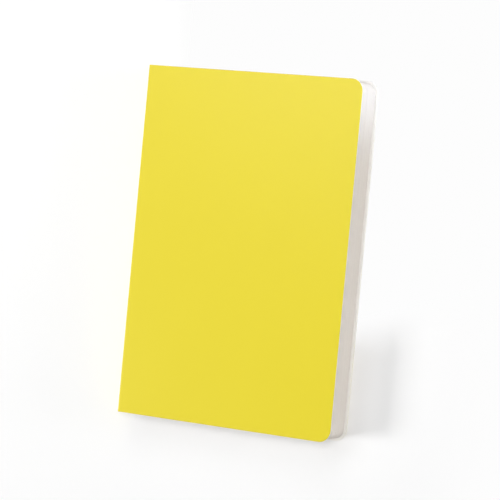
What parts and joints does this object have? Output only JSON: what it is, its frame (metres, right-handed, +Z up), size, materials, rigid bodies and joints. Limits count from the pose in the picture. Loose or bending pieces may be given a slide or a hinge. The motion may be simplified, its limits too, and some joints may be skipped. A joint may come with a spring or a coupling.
{
  "type": "notebook",
  "caption": "Soft-cover notebook with a smooth yellow cover, round fore-edge corners and plain off-white leaves, lying closed with both covers free to swing open.",
  "frame": {"origin": "on the surface that the closed notebook lies on, under the middle of its box", "axes": "+X from the spine to the fore edge, +Y from tail to head, +Z up from the back cover to the front cover"},
  "size_m": [0.148, 0.21, 0.0195],
  "materials": {
    "cover": "matte",
    "leaves": "matte",
    "glue": "satin",
    "endpaper": "matte"
  },
  "bodies": {
    "block": {"page_block": "leaves", "spine_glue": "glue", "cover_spine": "cover"},
    "front": {"front_cover": "cover", "front_endpaper": "endpaper"},
    "back": {"back_cover": "cover", "back_endpaper": "endpaper"}
  },
  "joints": [
    {"name": "front_cover_fold", "type": "hinge", "parent": "block", "child": "front", "pos_m": [-0.0736, 0, 0.0191], "axis": [0, -1, 0], "range_deg": [0, 179.9]},
    {"name": "back_cover_fold", "type": "hinge", "parent": "block", "child": "back", "pos_m": [-0.0736, 0, 0.0004], "axis": [0, 1, 0], "range_deg": [0, 179.9]}
  ]
}
